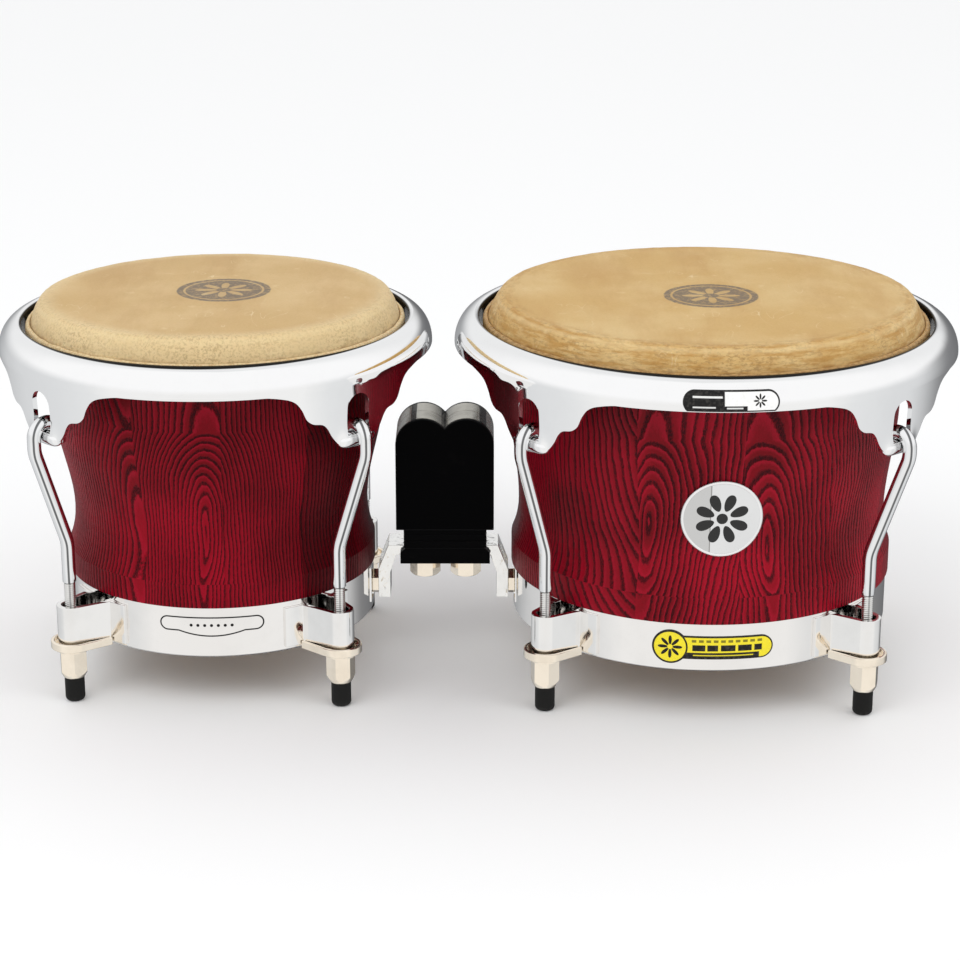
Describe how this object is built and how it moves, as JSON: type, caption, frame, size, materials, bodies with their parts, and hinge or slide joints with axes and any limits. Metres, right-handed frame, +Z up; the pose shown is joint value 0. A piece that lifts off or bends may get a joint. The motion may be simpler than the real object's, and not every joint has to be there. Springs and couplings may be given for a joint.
{
  "type": "bongo drums",
  "caption": "Joined pair of hand drums, one wider than the other: tucked skin heads, stained wood shells, hooked tuning rods with turning nuts, steel bottom rings, and a centre block with two arms.",
  "frame": {"origin": "middle of the whole object's footprint, on the plane its rubber feet stand on", "axes": "+X from the small drum to the large drum, +Z up through the skins, -Y towards the side that carries the round badge"},
  "size_m": [0.4582, 0.241, 0.1849],
  "materials": {
    "stained_wood": "satin lacquer over brushed open grain",
    "skin": "natural matt hide",
    "flesh_hoop_steel": "plain",
    "hoop_chrome": "mirror polished",
    "rod_chrome": "polished",
    "ring_chrome": "polished, slightly warm",
    "plated_fastener": "warm nickel plate",
    "rubber": "matt",
    "badge_metal": "brushed",
    "label_black": "gloss film",
    "label_yellow": "gloss film",
    "block_metal": "polished edge",
    "block_black": "satin powder coat",
    "arm_chrome": "cast and plated"
  },
  "bodies": {
    "body": {"small_shell": "stained_wood", "small_skin": "skin", "small_bottom_ring": "ring_chrome", "small_lug_brackets": "ring_chrome", "small_cup_plates": "plated_fastener", "small_mount_plate": "ring_chrome", "small_mount_stud": "plated_fastener", "small_mount_nut": "plated_fastener", "large_shell": "stained_wood", "large_skin": "skin", "large_bottom_ring": "ring_chrome", "large_lug_brackets": "ring_chrome", "large_cup_plates": "plated_fastener", "large_mount_plate": "ring_chrome", "large_mount_stud": "plated_fastener", "large_mount_nut": "plated_fastener", "large_badge": "badge_metal", "large_ring_label": "label_yellow", "block_front_plate": "block_metal", "block_rear_plate": "block_metal", "block_front_cover": "block_black", "block_rear_cover": "block_black", "block_pins": "plated_fastener", "block_saddle": "block_black", "clamp_plate": "block_black", "clamp_bolts": "plated_fastener", "clamp_washers": "plated_fastener", "small_arm": "arm_chrome", "large_arm": "arm_chrome"},
    "small_hoop_set": {"small_rim": "hoop_chrome", "small_flesh_hoop": "flesh_hoop_steel", "small_tuning_rods": "rod_chrome"},
    "small_tuner_1": {"small_nut_1": "plated_fastener", "small_foot_1": "rubber"},
    "small_tuner_2": {"small_nut_2": "plated_fastener", "small_foot_2": "rubber"},
    "small_tuner_3": {"small_nut_3": "plated_fastener", "small_foot_3": "rubber"},
    "small_tuner_4": {"small_nut_4": "plated_fastener", "small_foot_4": "rubber"},
    "large_hoop_set": {"large_rim": "hoop_chrome", "large_flesh_hoop": "flesh_hoop_steel", "large_tuning_rods": "rod_chrome", "large_rim_label": "label_black"},
    "large_tuner_1": {"large_nut_1": "plated_fastener", "large_foot_1": "rubber"},
    "large_tuner_2": {"large_nut_2": "plated_fastener", "large_foot_2": "rubber"},
    "large_tuner_3": {"large_nut_3": "plated_fastener", "large_foot_3": "rubber"},
    "large_tuner_4": {"large_nut_4": "plated_fastener", "large_foot_4": "rubber"}
  },
  "joints": [
    {"name": "small_hoop_slide", "type": "slide", "parent": "body", "child": "small_hoop_set", "axis": [0, 0, -1], "range_m": [0, 0.005]},
    {"name": "small_nut_1_turn", "type": "hinge", "parent": "body", "child": "small_tuner_1", "pos_m": [-0.06506, -0.06682, 0.02], "axis": [0, 0, 1], "range_deg": [0, 1800.01]},
    {"name": "small_nut_2_turn", "type": "hinge", "parent": "body", "child": "small_tuner_2", "pos_m": [-0.19247, -0.06059, 0.02], "axis": [0, 0, 1], "range_deg": [0, 1800.01]},
    {"name": "small_nut_3_turn", "type": "hinge", "parent": "body", "child": "small_tuner_3", "pos_m": [-0.18624, 0.06682, 0.02], "axis": [0, 0, 1], "range_deg": [0, 1800.01]},
    {"name": "small_nut_4_turn", "type": "hinge", "parent": "body", "child": "small_tuner_4", "pos_m": [-0.05883, 0.06059, 0.02], "axis": [0, 0, 1], "range_deg": [0, 1800.01]},
    {"name": "large_hoop_slide", "type": "slide", "parent": "body", "child": "large_hoop_set", "axis": [0, 0, -1], "range_m": [0, 0.005]},
    {"name": "large_nut_1_turn", "type": "hinge", "parent": "body", "child": "large_tuner_1", "pos_m": [0.18121, -0.07732, 0.02], "axis": [0, 0, 1], "range_deg": [0, 1800.01]},
    {"name": "large_nut_2_turn", "type": "hinge", "parent": "body", "child": "large_tuner_2", "pos_m": [0.03153, -0.07236, 0.02], "axis": [0, 0, 1], "range_deg": [0, 1800.01]},
    {"name": "large_nut_3_turn", "type": "hinge", "parent": "body", "child": "large_tuner_3", "pos_m": [0.03649, 0.07732, 0.02], "axis": [0, 0, 1], "range_deg": [0, 1800.01]},
    {"name": "large_nut_4_turn", "type": "hinge", "parent": "body", "child": "large_tuner_4", "pos_m": [0.18617, 0.07236, 0.02], "axis": [0, 0, 1], "range_deg": [0, 1800.01]}
  ],
  "couplings": [
    {"joint": "small_nut_1_turn", "follows": "small_hoop_slide", "rad_per_m": 6283.2},
    {"joint": "small_nut_2_turn", "follows": "small_hoop_slide", "rad_per_m": 6283.2},
    {"joint": "small_nut_3_turn", "follows": "small_hoop_slide", "rad_per_m": 6283.2},
    {"joint": "small_nut_4_turn", "follows": "small_hoop_slide", "rad_per_m": 6283.2},
    {"joint": "large_nut_1_turn", "follows": "large_hoop_slide", "rad_per_m": 6283.2},
    {"joint": "large_nut_2_turn", "follows": "large_hoop_slide", "rad_per_m": 6283.2},
    {"joint": "large_nut_3_turn", "follows": "large_hoop_slide", "rad_per_m": 6283.2},
    {"joint": "large_nut_4_turn", "follows": "large_hoop_slide", "rad_per_m": 6283.2}
  ]
}
